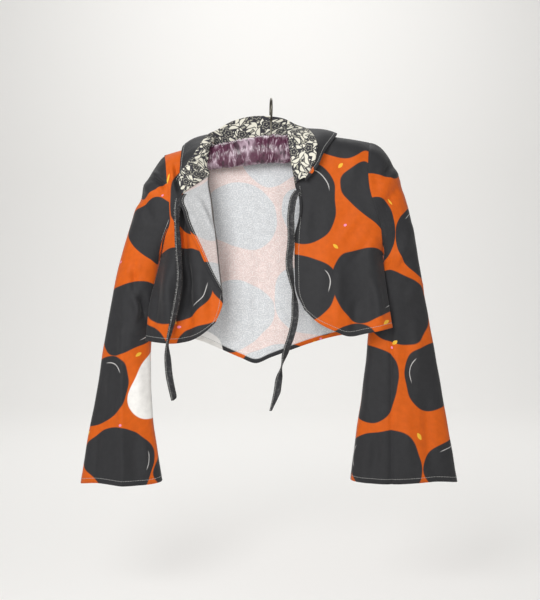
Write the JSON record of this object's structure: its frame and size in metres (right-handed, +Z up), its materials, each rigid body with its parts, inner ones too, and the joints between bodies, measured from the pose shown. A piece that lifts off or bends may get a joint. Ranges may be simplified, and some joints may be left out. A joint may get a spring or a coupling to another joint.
{
  "type": "cropped jacket on a hanger",
  "caption": "Open cropped jacket with flared long sleeves, turned-out lapel, folded collar and loose neck ties, hanging on a padded satin hanger with a wire hook.",
  "frame": {"origin": "bearing point inside the top of the hook, where the hanger hangs on a rail", "axes": "+Z up, the jacket's front towards -Y, the wearer's left side towards +X"},
  "size_m": [0.7044, 0.1267, 0.713],
  "materials": {
    "printed_cotton": "plain-weave cotton, printed on its right side",
    "floral_cotton": "plain-weave cotton with a small flower print",
    "black_twill": "black cotton twill, stitched along its edge",
    "purple_satin": "gathered satin over padding",
    "hook_steel": "bright drawn wire"
  },
  "bodies": {
    "root": {"back": "printed_cotton", "front_left": "printed_cotton", "front_right": "printed_cotton", "sleeve_left": "printed_cotton", "sleeve_right": "printed_cotton", "collar_stand": "floral_cotton", "collar_leaf": "printed_cotton", "tie_left": "black_twill", "tie_right": "black_twill", "hanger_pad": "purple_satin", "hanger_hook": "hook_steel"}
  },
  "joints": []
}
